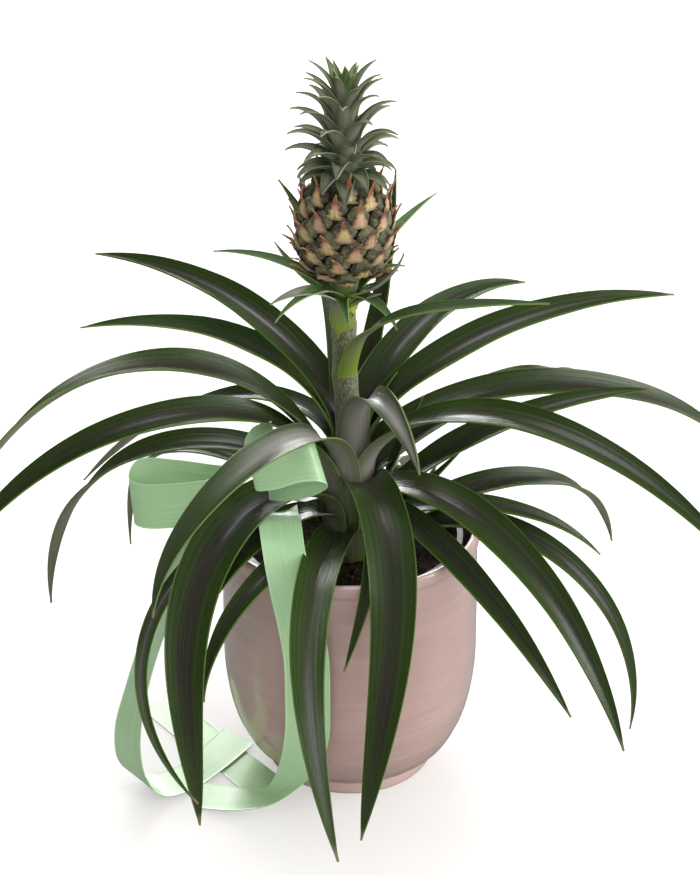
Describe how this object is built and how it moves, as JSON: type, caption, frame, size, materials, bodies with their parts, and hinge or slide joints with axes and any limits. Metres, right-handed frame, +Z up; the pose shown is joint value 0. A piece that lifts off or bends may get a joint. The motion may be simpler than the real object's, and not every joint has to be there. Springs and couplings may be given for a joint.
{
  "type": "potted pineapple plant",
  "caption": "Fruiting dwarf pineapple plant with arching strap leaves, in a glazed round pot, with a satin ribbon tied among its leaves and trailing to the floor.",
  "frame": {"origin": "centre of the pot's flat underside, on the surface that it stands on", "axes": "+Z up along the pot's axis, -Y towards the viewer, +X to the viewer's right"},
  "size_m": [0.4812, 0.42, 0.4342],
  "materials": {
    "glaze": "smooth glossy dusty-pink ceramic glaze with faint throwing rings",
    "nursery_plastic": "thin black grower's pot plastic, semi-gloss at the rim",
    "soil": "dark crumbly potting soil, matt",
    "stem": "living stalk with grey-brown felt",
    "fruit": "dry tan and olive fruit skin with papery bract tips",
    "crown": "grey-green scaly crown leaves, matt",
    "leaf": "dark green waxy leaf with a purplish middle band and pale edges",
    "bract": "green and grey-lilac leafy bracts",
    "satin": "mint-green satin ribbon, soft sheen, plain"
  },
  "bodies": {
    "root": {"bract_01": "bract", "bract_02": "bract", "bract_03": "bract", "bract_04": "bract", "bract_05": "bract", "bract_06": "bract", "bract_07": "bract", "bract_08": "bract", "bract_09": "bract", "crown": "crown", "fruit": "fruit", "glazed_pot": "glaze", "leaf_01": "leaf", "leaf_02": "leaf", "leaf_03": "leaf", "leaf_04": "leaf", "leaf_05": "leaf", "leaf_06": "leaf", "leaf_07": "leaf", "leaf_08": "leaf", "leaf_09": "leaf", "leaf_10": "leaf", "leaf_11": "leaf", "leaf_12": "leaf", "leaf_13": "leaf", "leaf_14": "leaf", "leaf_15": "leaf", "leaf_16": "leaf", "leaf_17": "leaf", "leaf_18": "leaf", "leaf_19": "leaf", "leaf_20": "leaf", "leaf_21": "leaf", "leaf_22": "leaf", "leaf_23": "leaf", "leaf_24": "leaf", "leaf_25": "leaf", "leaf_26": "leaf", "leaf_27": "leaf", "leaf_28": "leaf", "leaf_29": "leaf", "leaf_30": "leaf", "leaf_31": "leaf", "leaf_32": "leaf", "leaf_33": "leaf", "leaf_34": "leaf", "leaf_35": "leaf", "leaf_36": "leaf", "nursery_pot": "nursery_plastic", "ribbon_end_floor": "satin", "ribbon_loop_left": "satin", "ribbon_loop_upper": "satin", "ribbon_tail_front": "satin", "ribbon_tail_left": "satin", "soil": "soil", "stem": "stem"}
  },
  "joints": []
}
